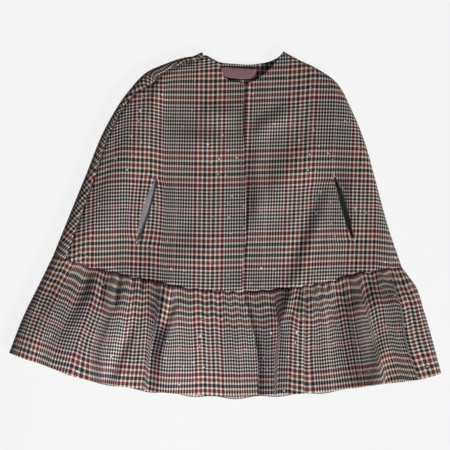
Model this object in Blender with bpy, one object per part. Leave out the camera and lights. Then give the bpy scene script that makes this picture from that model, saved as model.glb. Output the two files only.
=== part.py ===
"""A child's check cape with arm slits and a gathered hem ruffle, lying flat on its back.

Each piece is cut as a flat blank, given the thickness of its cloth and laid in its place. Left and right
are the viewer's, looking down on the front. Lengths are in millimetres: x runs right from the middle of
the laid cape, down runs from the neck towards the hem, and height is measured from the table.
"""

from collections import namedtuple
from math import cos, pi, sin

import bmesh
import bpy
import numpy as np
from mathutils import Matrix

MM = 0.001

# Cloths and seams
CLOTH = 1.6
LINING = 1.0
LABEL = 1.0
SEAM_GAP = 0.3

# How the fronts lie on the back
LEVEL = 8.4
UNDERLAP = 25.0
UNDERLAP_DROP = 2.2
UNDERLAP_CLEAR = 12.0
UNDERLAP_RISE = 34.0
PUFF_FLAT = 20.0
PUFF_END = 75.0
FOLD_CLEAR = 19.0
FOLD_FULL = 42.0
SEAM_TURN = 0.25
TURNED_UNDER = 10.0

# The folded side edges seen from above, with the width of cloth turned over each and its folded height
Side = namedtuple("Side", "x down turned fold")
LEFT_SIDE = (
    Side(-33, 1.5, 5, 8.2),
    Side(-45, 7.0, 5, 8.4),
    Side(-57, 9.0, 6, 8.6),
    Side(-91, 20.5, 7, 9.2),
    Side(-109, 28.5, 17, 10.0),
    Side(-138, 58, 9, 11.0),
    Side(-169, 107, 9, 11.5),
    Side(-199, 179, 13, 12.0),
    Side(-223, 238, 16, 12.5),
    Side(-244, 290, 18, 13.0),
)
RIGHT_SIDE = (
    Side(83, 0.5, 5, 8.2),
    Side(104, 12, 7, 8.6),
    Side(129, 24, 10, 9.4),
    Side(158, 44.5, 14, 10.5),
    Side(180, 84, 15, 11.5),
    Side(198, 128, 16, 12.0),
    Side(213, 181, 17, 12.5),
    Side(233, 254, 18, 13.0),
    Side(251, 307, 18, 13.0),
)
LEFT_RUFFLE_SIDE = (
    Side(-244, 290, 17, 13.0),
    Side(-262, 327, 17, 14.0),
    Side(-287, 378, 18, 15.5),
    Side(-307, 429, 18, 16.0),
)
RIGHT_RUFFLE_SIDE = (
    Side(251, 307, 17, 13.0),
    Side(260, 319, 17, 13.5),
    Side(270, 333, 17, 14.0),
    Side(283, 371, 18, 15.0),
    Side(307, 458, 18, 16.0),
)

# Edges and seams that run across, each a line of places
Place = namedtuple("Place", "x down")
BACK_NECK = (
    Place(-33, 1.5), Place(-22, 4.5), Place(-11, 10), Place(13, 14.2), Place(45, 15.2), Place(74, 7.2),
    Place(83, 1),
)
LEFT_NECK = (Place(-33, 5), Place(-22, 11), Place(-14, 28), Place(-6, 32.5), Place(10, 39.5), Place(27, 46))
RIGHT_NECK = (
    Place(0, 48), Place(27, 46.5), Place(43, 38), Place(57, 30), Place(67, 20), Place(75, 9),
    Place(83, 1),
)
RUFFLE_SEAM = (
    Place(-244, 290), Place(-217, 298.5), Place(-186, 308.5), Place(-132, 321), Place(-92, 330),
    Place(-50, 337.5), Place(0, 341.5), Place(35, 342), Place(70, 340), Place(108, 334),
    Place(160, 324), Place(187, 317.5), Place(230, 310), Place(251, 307),
)
HEM = (
    Place(-307, 429), Place(-293, 435), Place(-254, 449), Place(-220, 462), Place(-150, 477),
    Place(-80, 486), Place(-31, 490), Place(4, 492), Place(82, 488), Place(156, 482.5),
    Place(220, 472), Place(268, 466), Place(307, 458),
)

# The left front's edge at the centre, from the neck down the ruffle to the hem
CENTRE_SEAM = Place(25.5, 342)
CENTRE = (
    Place(27, 46), Place(26.5, 71), Place(24, 98), Place(24.5, 162), Place(29.5, 205), Place(30, 255),
    CENTRE_SEAM, Place(35, 380), Place(44, 419), Place(47, 458), Place(47, 492),
)

# The line each arm slit is cut on, from the neck through the slit's two ends to the ruffle seam
SLIT_WIDTH = 10.4
LEFT_SLIT_LINE = (
    Place(-16, 25), Place(-53, 98), Place(-96.7, 180.8), Place(-124.4, 270.2), Place(-138, 319),
)
RIGHT_SLIT_LINE = (
    Place(68, 19), Place(110, 96), Place(154.9, 177.9), Place(184.5, 270.2), Place(197, 315.5),
)
SLIT_SPREAD = 3

# Soft folds of the fronts: a ridge is above the cloth around it and a trough below
Fold = namedtuple("Fold", "x down x_end down_end width height")
FOLDS = (
    Fold(-106, 38, -112, 178, 26, 3.2),
    Fold(-92, 30, -96, 182, 15, -1.4),
    Fold(-112, 186, -128, 268, 38, 2.6),
    Fold(124, 196, 115, 330, 34, 3.0),
    Fold(170, 182, 190, 268, 38, 3.4),
    Fold(36, 158, 38, 262, 30, 2.0),
)
FOLD_END = 0.33

# Flutes of the front ruffles, from the seam to the hem, growing in width and height
Flute = namedtuple("Flute", "x_seam x_hem width width_hem height")
LEFT_FLUTES = (
    Flute(-222, -262, 20, 46, 5.0),
    Flute(-180, -208, 22, 44, 9.5),
    Flute(-143, -168, 20, 40, 8.0),
    Flute(-109, -128, 20, 38, 10.5),
    Flute(-81, -98, 16, 26, 7.5),
    Flute(-46, -62, 22, 48, 5.5),
    Flute(-8, -14, 22, 52, 4.0),
    Flute(18, 30, 18, 38, 5.0),
)
RIGHT_FLUTES = (
    Flute(86, 86, 18, 42, 10.0),
    Flute(112, 126, 20, 46, 7.0),
    Flute(147, 166, 22, 44, 8.5),
    Flute(179, 205, 20, 38, 10.0),
    Flute(216, 247, 22, 46, 10.5),
    Flute(238, 281, 18, 34, 6.0),
)
FLUTE_GROWTH = 0.83
GATHERS = 17
GATHER_HEIGHT = 1.4
GATHER_REACH = 0.35
HEM_PEEK = 3.0
HEM_PEEK_WAVE = 62.0

# Pieces inside the back
FACING_DEPTH = 0.115
FACING_INSET = 0.05
LINING_TOP = 0.125
LINING_END = 0.975
LINING_INSET = 0.06
LABEL_SIZE = (50.0, 15.0)
LABEL_AT = Place(18.5, 31.5)
LABEL_TILT = 0.06

# Grid of each blank
BODY_ROWS = 24
SLIT_ROWS = (13, 20)
OUTER_COLUMNS = 8
INNER_COLUMNS = 10
BEND_COLUMNS = 6
STRIP_COLUMNS = 2
FLOOR_COLUMNS = 16
INSIDE_COLUMNS = 10
LINING_ROWS = 12
LABEL_COLUMNS = 4
LABEL_ROWS = 2
RUFFLE_ROWS = 9
GATHER_COLUMNS = 4
RUFFLE_COLUMNS = GATHER_COLUMNS * GATHERS
BACK_RUFFLE_COLUMNS = 30
BACK_RUFFLE_ROWS = 3
EDGE_SAMPLES = 61
EDGE_STEP = 0.01
ON_LINE = 0.0001
LIP = 0.01


def ease(share):
    """A soft step from 0 to 1 as the share runs from 0 to 1."""
    share = min(max(share, 0.0), 1.0)
    return share * share * (3 - 2 * share)


def unit(way):
    return way / np.linalg.norm(way)


def smooth_curve(knots, values):
    """A smooth curve through the values at the knots."""
    slopes = np.gradient(values, knots, axis=0)

    def value_at(at):
        i = int(np.clip(np.searchsorted(knots, at) - 1, 0, len(knots) - 2))
        span = knots[i + 1] - knots[i]
        u = (at - knots[i]) / span
        start = values[i] * (1 + 2 * u) * (1 - u) ** 2 + slopes[i] * span * u * (1 - u) ** 2
        return start + values[i + 1] * u * u * (3 - 2 * u) + slopes[i + 1] * span * u * u * (u - 1)

    return value_at


def along(rows):
    """A smooth curve through a table's rows, by the share of its length."""
    values = np.array(rows, float)
    steps = np.linalg.norm(np.diff(values[:, :2], axis=0), axis=1)
    return smooth_curve(np.concatenate(([0.0], np.cumsum(steps))) / steps.sum(), values)


def down_at(rows):
    """How far down an edge lies, by its x."""
    values = np.array(rows, float)
    return smooth_curve(values[:, 0], values[:, 1])


def x_at(rows):
    """How far right an edge lies, by its distance down."""
    values = np.array(rows, float)
    return smooth_curve(values[:, 1], values[:, 0])


back_neck = down_at(BACK_NECK)
left_neck = down_at(LEFT_NECK)
right_neck = down_at(RIGHT_NECK)
ruffle_seam = down_at(RUFFLE_SEAM)
hem = down_at(HEM)
centre_x = x_at(CENTRE)


class FoldedSide:
    """A side edge of the laid cape, where the cloth turns over from the front to the back.

    hand is 1 on the left and -1 on the right, and seam_share is 1 where the edge ends at the ruffle seam
    and 0 where it starts there.
    """

    def __init__(self, rows, hand, seam_share):
        self.edge = along(rows)
        self.hand = hand
        self.seam_share = seam_share
        end = self.edge(seam_share)
        inner_x = end[0] + hand * end[2]
        self.seam_way = unit(np.array((inner_x, ruffle_seam(inner_x))) - end[:2])

    def inward(self, share):
        """The way in from the edge: square to it, and along the ruffle seam where they meet."""
        run = self.edge(min(share + EDGE_STEP, 1)) - self.edge(max(share - EDGE_STEP, 0))
        square = unit(np.array((run[1], -run[0])) * self.hand)
        near = ease(1 - abs(share - self.seam_share) / SEAM_TURN)
        return unit(square * (1 - near) + self.seam_way * near)

    def inside(self, share, distance):
        """A place at a distance in from the edge."""
        return self.edge(share)[:2] + self.inward(share) * distance

    def radius(self, share):
        return self.edge(share)[3] / 2

    def folded(self, share):
        """Where the bend of the fold ends, on top as on the table."""
        return self.inside(share, self.radius(share))

    def turned(self, share):
        """The seam at the end of the cloth that is turned over."""
        return self.inside(share, self.edge(share)[2])

    def beside_turned(self, share):
        """The edge of the panel sewn to the cloth that is turned over."""
        return self.inside(share, self.edge(share)[2] + SEAM_GAP)

    def beside_under(self, share):
        """The edge of the back ruffle beside the front ruffle's cloth that is turned under."""
        return self.inside(share, self.radius(share) + TURNED_UNDER + SEAM_GAP)

    def bend(self, share, turn, inner):
        """A point of the folded edge: turn 0 is on top and 1 on the table."""
        radius = self.radius(share)
        wall = radius - CLOTH * inner
        place = self.inside(share, radius - wall * sin(pi * turn))
        return np.append(place, radius + wall * cos(pi * turn))


left_side = FoldedSide(LEFT_SIDE, 1, 1)
right_side = FoldedSide(RIGHT_SIDE, -1, 1)
left_ruffle_side = FoldedSide(LEFT_RUFFLE_SIDE, 1, 0)
right_ruffle_side = FoldedSide(RIGHT_RUFFLE_SIDE, -1, 0)
SIDES = (left_side, right_side, left_ruffle_side, right_ruffle_side)
EDGE_POINTS = np.array([side.edge(share) for side in SIDES for share in np.linspace(0, 1, EDGE_SAMPLES)])


def resting_height(x, down):
    """Height of the fronts' outer face without folds, and the distance from the nearest side edge."""
    distance = np.hypot(EDGE_POINTS[:, 0] - x, EDGE_POINTS[:, 1] - down)
    nearest = int(distance.argmin())
    puff = ease((PUFF_END - distance[nearest]) / (PUFF_END - PUFF_FLAT))
    return LEVEL + (EDGE_POINTS[nearest, 3] - LEVEL) * puff, distance[nearest]


def bump(offset, width):
    """Rounded profile of a ridge across its width."""
    return cos(pi * offset / width) ** 2 if abs(offset) < width / 2 else 0.0


def fold_height(fold, x, down):
    start = np.array((fold.x, fold.down))
    run = np.array((fold.x_end, fold.down_end)) - start
    reach = np.linalg.norm(run)
    run = run / reach
    offset = np.array((x, down)) - start
    share = offset @ run / reach
    across = offset[0] * run[1] - offset[1] * run[0]
    return fold.height * bump(across, fold.width) * ease(share / FOLD_END) * ease((1 - share) / FOLD_END)


def underlap(x, down):
    """1 where the right front and ruffle lie under the left ones, easing to 0 where they come clear."""
    return ease((centre_x(down) + UNDERLAP_CLEAR + UNDERLAP_RISE - x) / UNDERLAP_RISE)


def front_height(x, down, cover):
    """Height of a front's outer face, where cover is how far it lies under the other front."""
    height, distance = resting_height(x, down)
    folds = sum(fold_height(fold, x, down) for fold in FOLDS)
    height += folds * ease((distance - FOLD_CLEAR) / (FOLD_FULL - FOLD_CLEAR))
    return height - UNDERLAP_DROP * cover


def ruffle_height(x, down, share, column, flutes, cover):
    """Height of a front ruffle's outer face, where cover is how far it lies under the other ruffle."""
    height, distance = resting_height(x, down)
    waves = 0.0
    for flute in flutes:
        line = flute.x_seam + (flute.x_hem - flute.x_seam) * share
        width = flute.width + (flute.width_hem - flute.width) * share
        waves = max(waves, flute.height * ease(share / FLUTE_GROWTH) * bump(x - line, width))
    pucker = (1 - cos(2 * pi * column / GATHER_COLUMNS)) / 2
    gathered = GATHER_HEIGHT * pucker * ease(1 - share / GATHER_REACH)
    height += (waves + gathered) * (1 - cover) * ease((distance - FOLD_CLEAR) / (FOLD_FULL - FOLD_CLEAR))
    return height - UNDERLAP_DROP * cover


def patch(left, right, top, bottom, across, share):
    """A place in the cloth between two rails, bowed to follow its top and bottom edges."""
    place = left(share) + (right(share) - left(share)) * across
    for edge, end, weight in ((top, 0, 1 - share), (bottom, 1, share)):
        first, last = left(end)[0], right(end)[0]
        straight = edge(first) + (edge(last) - edge(first)) * across
        place[1] += weight * (edge(first + (last - first) * across) - straight)
    return place


def laid(place, height, inner):
    """A point of cloth that lies with its outer face up."""
    return np.append(place, height - CLOTH * inner)


def cut_slit(blank, column, rows):
    """Slashes the blank along a column, leaving a left and a right lip."""
    first, last = rows
    on_slit = {
        v for v in blank.verts
        if abs(v.co.x - column) < ON_LINE and first - ON_LINE < v.co.y < last + ON_LINE
    }
    bmesh.ops.split_edges(blank, edges=[edge for edge in blank.edges if on_slit.issuperset(edge.verts)])
    for v in blank.verts:
        if abs(v.co.x - column) < ON_LINE and first + ON_LINE < v.co.y < last - ON_LINE:
            side = sum(face.calc_center_median().x - column for face in v.link_faces)
            v.co.x += LIP if side > 0 else -LIP


def cut_piece(name, columns, rows, place, material, slit_column=None):
    """Cuts a blank of columns by rows, gives it two faces and lays it by place(column, row, inner)."""
    blank = bmesh.new()
    bmesh.ops.create_grid(blank, x_segments=columns, y_segments=rows, size=0.5)
    bmesh.ops.transform(
        blank,
        matrix=Matrix.Diagonal((columns, rows, 1, 1)) @ Matrix.Translation((0.5, 0.5, 0)),
        verts=blank.verts,
    )
    if slit_column is not None:
        cut_slit(blank, slit_column, SLIT_ROWS)
    walls = bmesh.ops.extrude_face_region(blank, geom=blank.faces[:])["geom"]
    bmesh.ops.translate(blank, vec=(0, 0, 1), verts=[v for v in walls if isinstance(v, bmesh.types.BMVert)])
    for v in blank.verts:
        x, down, height = place(*(round(c, 3) for c in v.co))
        v.co = (x * MM, -down * MM, height * MM)
    bmesh.ops.recalc_face_normals(blank, faces=blank.faces)
    if blank.calc_volume(signed=True) < 0:
        bmesh.ops.reverse_faces(blank, faces=blank.faces)
    mesh = bpy.data.meshes.new(name)
    blank.to_mesh(mesh)
    blank.free()
    mesh.materials.append(material)
    mesh.shade_smooth()
    piece = bpy.data.objects.new(name, mesh)
    garment.objects.link(piece)
    return piece


def cloth_material(name, colour, roughness):
    material = bpy.data.materials.new(name)
    material.use_nodes = True
    shader = material.node_tree.nodes["Principled BSDF"]
    shader.inputs["Base Color"].default_value = (*colour, 1)
    shader.inputs["Roughness"].default_value = roughness
    shader.inputs["Metallic"].default_value = 0
    return material


def slit_rail(line):
    """The slit's line by the share of the rows, with its ends on the rows where the slit is cut."""
    values = np.array(line, float)
    first, last = (row / BODY_ROWS for row in SLIT_ROWS)
    return smooth_curve(np.array((0, first / 2, first, last, 1)), values)


def slit_opening(column, slit_column, row):
    """How far a point near the slit is pushed aside by the lips opening."""
    first, last = SLIT_ROWS
    if not first < row < last or column == slit_column:
        return 0.0
    away = abs(column - slit_column)
    lens = SLIT_WIDTH / 2 * sin(pi * (row - first) / (last - first)) * max(0, 1 - away / SLIT_SPREAD)
    return lens if column > slit_column else -lens


def centre_rail(start, end, under=0.0):
    """The edge at the centre from one distance down to another, or an edge that lies under it."""

    def place_at(share):
        down = start + (end - start) * share
        return np.array((centre_x(down) - under, down))

    return place_at


seam_at_centre = ruffle_seam(CENTRE_SEAM.x)
hem_at_centre = hem(CENTRE[-1].x)
left_centre = centre_rail(CENTRE[0].down, seam_at_centre)
right_centre = centre_rail(RIGHT_NECK[0].down, seam_at_centre, UNDERLAP)
left_ruffle_centre = centre_rail(seam_at_centre, hem_at_centre)
right_ruffle_centre = centre_rail(seam_at_centre, hem_at_centre, UNDERLAP)
left_slit = slit_rail(LEFT_SLIT_LINE)
right_slit = slit_rail(RIGHT_SLIT_LINE)


def front_left_place(column, row, inner):
    share = row / BODY_ROWS
    if column <= OUTER_COLUMNS:
        across = column / OUTER_COLUMNS
        place = patch(left_side.beside_turned, left_slit, left_neck, ruffle_seam, across, share)
    else:
        across = (column - OUTER_COLUMNS) / INNER_COLUMNS
        place = patch(left_slit, left_centre, left_neck, ruffle_seam, across, share)
    place[0] += slit_opening(column, OUTER_COLUMNS, row)
    return laid(place, front_height(*place, 0), inner)


def front_right_place(column, row, inner):
    """A point of the right front; its columns run from the centre over the side fold to the table."""
    share = row / BODY_ROWS
    past_bend = column - INNER_COLUMNS - OUTER_COLUMNS - BEND_COLUMNS
    if past_bend > 0:
        folded = right_side.folded(share)
        turned = right_side.turned(share)
        return np.append(folded + (turned - folded) * past_bend / STRIP_COLUMNS, CLOTH * inner)
    if past_bend > -BEND_COLUMNS:
        return right_side.bend(share, 1 + past_bend / BEND_COLUMNS, inner)
    if column <= INNER_COLUMNS:
        across = column / INNER_COLUMNS
        place = patch(right_centre, right_slit, right_neck, ruffle_seam, across, share)
    else:
        across = (column - INNER_COLUMNS) / OUTER_COLUMNS
        place = patch(right_slit, right_side.folded, right_neck, ruffle_seam, across, share)
    place[0] += slit_opening(column, INNER_COLUMNS, row)
    return laid(place, front_height(*place, underlap(*place)), inner)


def back_floor(across, share):
    """A place on the back where it lies on the table."""
    return patch(left_side.folded, right_side.beside_turned, back_neck, ruffle_seam, across, share)


def back_place(column, row, inner):
    """A point of the back; its columns run from the seam on the front over the side fold to the table."""
    share = row / BODY_ROWS
    past_strip = column - STRIP_COLUMNS
    if past_strip < 0:
        folded = left_side.folded(share)
        turned = left_side.turned(share)
        height = 2 * left_side.radius(share)
        return laid(folded + (folded - turned) * past_strip / STRIP_COLUMNS, height, inner)
    if past_strip < BEND_COLUMNS:
        return left_side.bend(share, past_strip / BEND_COLUMNS, inner)
    across = (past_strip - BEND_COLUMNS) / FLOOR_COLUMNS
    return np.append(back_floor(across, share), CLOTH * inner)


def ruffle_place(side, flutes, rail, covered, column, row, inner):
    """A point of a front ruffle; its columns run from the cloth turned under to the centre edge."""
    share = row / RUFFLE_ROWS
    past_bend = column - 1 - BEND_COLUMNS
    if column < 1:
        place = side.inside(share, side.radius(share) + TURNED_UNDER)
        point = np.append(place, CLOTH * inner)
    elif past_bend < 0:
        point = side.bend(share, -past_bend / BEND_COLUMNS, inner)
    else:
        place = patch(side.folded, rail, ruffle_seam, hem, past_bend / RUFFLE_COLUMNS, share)
        cover = covered * underlap(*place)
        point = laid(place, ruffle_height(*place, share, past_bend, flutes, cover), inner)
    point[1] += SEAM_GAP * (1 - share)
    return point


def ruffle_left_place(column, row, inner):
    return ruffle_place(left_ruffle_side, LEFT_FLUTES, left_ruffle_centre, 0, column, row, inner)


def ruffle_right_place(column, row, inner):
    return ruffle_place(right_ruffle_side, RIGHT_FLUTES, right_ruffle_centre, 1, column, row, inner)


def ruffle_back_place(column, row, inner):
    """A point of the back ruffle, which lies on the table and peeks out in waves at the hem."""
    share = row / BACK_RUFFLE_ROWS
    across = column / BACK_RUFFLE_COLUMNS
    left, right = left_ruffle_side.beside_under, right_ruffle_side.beside_under
    place = patch(left, right, ruffle_seam, hem, across, share)
    wave = ease(sin(pi * across)) * (1 + sin(place[0] * 2 * pi / HEM_PEEK_WAVE)) / 2
    place[1] += SEAM_GAP * (1 - share) + HEM_PEEK * wave * share
    return np.append(place, CLOTH * inner)


def on_back(across, share, thickness, inner):
    """A point of a piece that lies on the back's inner face."""
    return np.append(back_floor(across, share), CLOTH + SEAM_GAP + thickness * (1 - inner))


def lining_place(column, row, inner):
    across = LINING_INSET + (1 - 2 * LINING_INSET) * column / INSIDE_COLUMNS
    share = LINING_TOP + (LINING_END - LINING_TOP) * row / LINING_ROWS
    return on_back(across, share, LINING, inner)


def facing_place(column, row, inner):
    across = FACING_INSET + (1 - 2 * FACING_INSET) * column / INSIDE_COLUMNS
    return on_back(across, FACING_DEPTH * row / BACK_RUFFLE_ROWS, LINING, inner)


def label_place(column, row, inner):
    width, depth = LABEL_SIZE
    x = width * (column / LABEL_COLUMNS - 0.5)
    down = depth * (row / LABEL_ROWS - 0.5)
    base = CLOTH + SEAM_GAP + LINING + SEAM_GAP
    place = (
        LABEL_AT.x + x * cos(LABEL_TILT) - down * sin(LABEL_TILT),
        LABEL_AT.down + x * sin(LABEL_TILT) + down * cos(LABEL_TILT),
    )
    return np.append(place, base + LABEL * (1 - inner))


for leftover in list(bpy.data.objects):
    bpy.data.objects.remove(leftover)
garment = bpy.data.collections.new("check_cape")
bpy.context.scene.collection.children.link(garment)

check_cloth = cloth_material("check_cloth", (0.19, 0.15, 0.13), 0.85)
lining_cloth = cloth_material("lining_cloth", (0.20, 0.20, 0.24), 0.45)
label_cloth = cloth_material("label_cloth", (0.27, 0.14, 0.16), 0.6)

top_columns = OUTER_COLUMNS + INNER_COLUMNS
ruffle_columns = 1 + BEND_COLUMNS + RUFFLE_COLUMNS
pieces = [
    cut_piece("back", STRIP_COLUMNS + BEND_COLUMNS + FLOOR_COLUMNS, BODY_ROWS, back_place, check_cloth),
    cut_piece("back_lining", INSIDE_COLUMNS, LINING_ROWS, lining_place, lining_cloth),
    cut_piece("neck_facing", INSIDE_COLUMNS, BACK_RUFFLE_ROWS, facing_place, check_cloth),
    cut_piece("label", LABEL_COLUMNS, LABEL_ROWS, label_place, label_cloth),
    cut_piece(
        "front_right", top_columns + BEND_COLUMNS + STRIP_COLUMNS, BODY_ROWS, front_right_place,
        check_cloth, INNER_COLUMNS,
    ),
    cut_piece("front_left", top_columns, BODY_ROWS, front_left_place, check_cloth, OUTER_COLUMNS),
    cut_piece("ruffle_back", BACK_RUFFLE_COLUMNS, BACK_RUFFLE_ROWS, ruffle_back_place, check_cloth),
    cut_piece("ruffle_front_right", ruffle_columns, RUFFLE_ROWS, ruffle_right_place, check_cloth),
    cut_piece("ruffle_front_left", ruffle_columns, RUFFLE_ROWS, ruffle_left_place, check_cloth),
]

# The origin is on the table under the middle of the laid cape
corners = np.array([v.co for piece in pieces for v in piece.data.vertices])
middle = (corners.min(axis=0) + corners.max(axis=0)) / 2
for piece in pieces:
    piece.data.transform(Matrix.Translation((-middle[0], -middle[1], 0)))
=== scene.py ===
from collections import namedtuple
from functools import partial
from math import cos, pi, sin

import bmesh
import bpy
import numpy as np
from mathutils import Matrix, Vector


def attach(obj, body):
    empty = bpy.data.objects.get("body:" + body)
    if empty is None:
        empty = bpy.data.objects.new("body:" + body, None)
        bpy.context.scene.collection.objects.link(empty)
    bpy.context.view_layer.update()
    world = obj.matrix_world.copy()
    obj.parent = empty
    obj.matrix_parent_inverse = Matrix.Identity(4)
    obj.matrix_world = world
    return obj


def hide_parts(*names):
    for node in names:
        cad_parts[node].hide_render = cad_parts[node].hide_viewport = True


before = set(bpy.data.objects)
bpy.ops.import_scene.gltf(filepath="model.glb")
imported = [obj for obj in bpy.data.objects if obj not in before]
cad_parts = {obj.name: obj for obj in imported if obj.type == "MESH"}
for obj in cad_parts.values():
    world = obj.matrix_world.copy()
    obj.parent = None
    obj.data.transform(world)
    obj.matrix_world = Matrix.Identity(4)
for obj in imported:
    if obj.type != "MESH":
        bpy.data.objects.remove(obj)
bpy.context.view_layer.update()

# Back
# One panel of soft glen-check cloth, a 2/2 twill of cream and dark wool-type yarn. It lies face down on the
# table, its neck edge is faced, and on the left it turns up over the side fold and is sewn to the left front.
# Lengths are in millimetres: x runs right from the middle, down runs from the neck, height from the table.
MM = 0.001
MIDDLE_DOWN = 247.85
CLOTH = 1.2
SEAM_GAP = 0.3
SEAM_TURN = 0.25
EDGE_STEP = 0.01
ROLL, ROLL_MARGIN = 14.0, 1.0
BODY_ROWS = 168
# Columns of the back on the strip, round the side fold and on the table
BACK_COLUMNS = (6, 20, 120)
STRIP_DIP, STRIP_DIP_WIDTH = 1.1, 4.0

Place = namedtuple("Place", "x down")
# A side edge, with the width of cloth that is turned over it and the height of the fold
Side = namedtuple("Side", "x down turned fold")


def rows_of(columns, *rows):
    """A table whose rows have named columns."""
    return tuple(columns(*row) for row in rows)


LEFT_SIDE = rows_of(
    Side, (-33, 1.5, 6, 8.2), (-45, 7, 7, 8.4), (-57, 9, 8.5, 8.6), (-91, 20.5, 10, 9.2),
    (-109, 28.5, 17, 10), (-138, 58, 9, 11), (-169, 107, 9, 11.5), (-199, 179, 13, 12),
    (-223, 238, 16, 12.5), (-244, 290, 18, 13),
)
RIGHT_SIDE = rows_of(
    Side, (83, 0.5, 5, 8.2), (104, 12, 7, 8.6), (129, 24, 10, 9.4), (158, 44.5, 14, 10.5),
    (180, 84, 15, 11.5), (198, 128, 16, 12), (213, 181, 17, 12.5), (233, 254, 18, 13),
    (251, 307, 18, 13),
)
BACK_NECK = rows_of(
    Place, (-33, 1.5), (-27, 1.2), (-20, 5), (-11, 10), (13, 14.2), (45, 15.2), (74, 7.2), (83, 1),
)
RUFFLE_SEAM = rows_of(
    Place, (-244, 290), (-217, 298.5), (-186, 308.5), (-132, 321), (-92, 330), (-50, 337.5), (0, 341.5),
    (35, 342), (70, 340), (108, 334), (160, 324), (187, 317.5), (230, 310), (251, 307),
)


def ease(share):
    """A soft step from 0 to 1 as the share runs from 0 to 1."""
    share = np.clip(share, 0, 1)
    return share * share * (3 - 2 * share)


def unit(ways):
    return ways / np.linalg.norm(ways, axis=-1, keepdims=True)


def smooth_curve(knots, values):
    slopes = np.gradient(values, knots, axis=0)

    def value_at(at):
        i = np.clip(np.searchsorted(knots, at) - 1, 0, len(knots) - 2)
        span = knots[i + 1] - knots[i]
        u = (at - knots[i]) / span
        if values.ndim == 2:
            span, u = span[:, None], u[:, None]
        start = values[i] * (1 + 2 * u) * (1 - u) ** 2 + slopes[i] * span * u * (1 - u) ** 2
        return start + values[i + 1] * u * u * (3 - 2 * u) + slopes[i + 1] * span * u * u * (u - 1)

    return value_at


def along(rows):
    """A smooth curve through a table's rows, by the share of its length."""
    values = np.array(rows, float)
    steps = np.linalg.norm(np.diff(values[:, :2], axis=0), axis=1)
    return smooth_curve(np.concatenate(([0.0], np.cumsum(steps))) / steps.sum(), values)


def down_at(rows):
    """How far down an edge lies, by its x."""
    values = np.array(rows, float)
    return smooth_curve(values[:, 0], values[:, 1])


back_neck = down_at(BACK_NECK)
seam_line = down_at(RUFFLE_SEAM)
# A value that sways about its mean along the cloth
Sway = namedtuple("Sway", "mean swing pitch start")
SEAM_WAVE, SEAM_WAVE_PITCH, SEAM_WAVE_PHASE = 1.1, 3.1, Sway(0, 1.6, 19, 0)


def swayed(sway, x):
    return sway.mean + sway.swing * np.sin(x / sway.pitch + sway.start)


def ruffle_seam(x):
    """How far down the ruffle seam lies, which the gathers pull into small waves."""
    return seam_line(x) + SEAM_WAVE * np.sin(x / SEAM_WAVE_PITCH + swayed(SEAM_WAVE_PHASE, x))


class FoldedSide:
    """A side edge of the laid cape, where the cloth rolls over from the front to the back."""

    def __init__(self, rows, hand, seam_share):
        self.edge = along(rows)
        self.hand = hand
        self.seam_share = seam_share
        end = self.edge(np.array([seam_share]))[0]
        inner_x = end[0] + hand * end[2]
        self.seam_way = unit(np.array((inner_x, ruffle_seam(inner_x))) - end[:2])

    def inward(self, share):
        """The way in from the edge: square to it, and along the ruffle seam where they meet."""
        run = self.edge(np.minimum(share + EDGE_STEP, 1)) - self.edge(np.maximum(share - EDGE_STEP, 0))
        square = unit(np.column_stack((run[:, 1], -run[:, 0])) * self.hand)
        near = ease(1 - abs(share - self.seam_share) / SEAM_TURN)[:, None]
        return unit(square * (1 - near) + self.seam_way * near)

    def inside(self, share, distance):
        return self.edge(share)[:, :2] + self.inward(share) * np.reshape(distance, (-1, 1))

    def turned_width(self, share):
        return self.edge(share)[:, 2]

    def roll(self, share):
        """How far in from the edge the cloth starts to roll over."""
        return np.minimum(ROLL, self.turned_width(share) - ROLL_MARGIN)

    def past_roll(self, share):
        return self.turned_width(share) - self.roll(share)

    def rolled(self, share):
        return self.inside(share, self.roll(share))

    def turned(self, share):
        """The seam at the end of the cloth that is turned over."""
        return self.inside(share, self.turned_width(share))

    def beside_turned(self, share):
        return self.inside(share, self.turned_width(share) + SEAM_GAP)

    def bend(self, share, turn, beyond):
        """A place and height on the rolled edge or beyond it: turn 0 is on top and 1 on the table."""
        half = self.edge(share)[:, 3] / 2
        inwards = self.roll(share) * (1 - np.sin(pi * turn)) + beyond
        return self.inside(share, inwards), half + half * np.cos(pi * turn)

    def unrolled(self, share, turn, beyond):
        """Where a rolled point of the cloth lay before it was rolled, in the plane of turn 0."""
        return self.inside(share, self.roll(share) * (1 - pi * turn) - beyond)

    def roll_over(self, share, turn, beyond, place, height, flat):
        """Rolls the points that have a turn over the edge, and notes where they lay flat."""
        rolled = turn > 0
        bent, bent_height = self.bend(share, turn, beyond)
        place[rolled], height[rolled] = bent[rolled], bent_height[rolled]
        flat[rolled] = self.unrolled(share, turn, beyond)[rolled]


left_side = FoldedSide(LEFT_SIDE, hand=1, seam_share=1)
right_side = FoldedSide(RIGHT_SIDE, hand=-1, seam_share=1)


def patch(left, right, top, bottom, across, share):
    """A place in the cloth between two rails, bowed to follow its top and bottom edges."""
    start = left(share)
    place = start + (right(share) - start) * across[:, None]
    for edge, end, weight in ((top, 0.0, 1 - share), (bottom, 1.0, share)):
        first, last = left(np.array([end]))[0, 0], right(np.array([end]))[0, 0]
        straight = edge(first) + (edge(last) - edge(first)) * across
        place[:, 1] += weight * (edge(first + (last - first) * across) - straight)
    return place


# The order of the yarns: a fine 2 and 2 ground on both sides of a red line, then a band of 4 and 4.
# The first three are counted in yarns from the red line, the last two are measured in the cloth.
Order = namedtuple("Order", "fine maroon half maroon_at repeat")
WARP = Order(27, 29, 53, 25.7, 91.7)
WEFT = Order(27, 29, 53, 35.6, 117.4)


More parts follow.
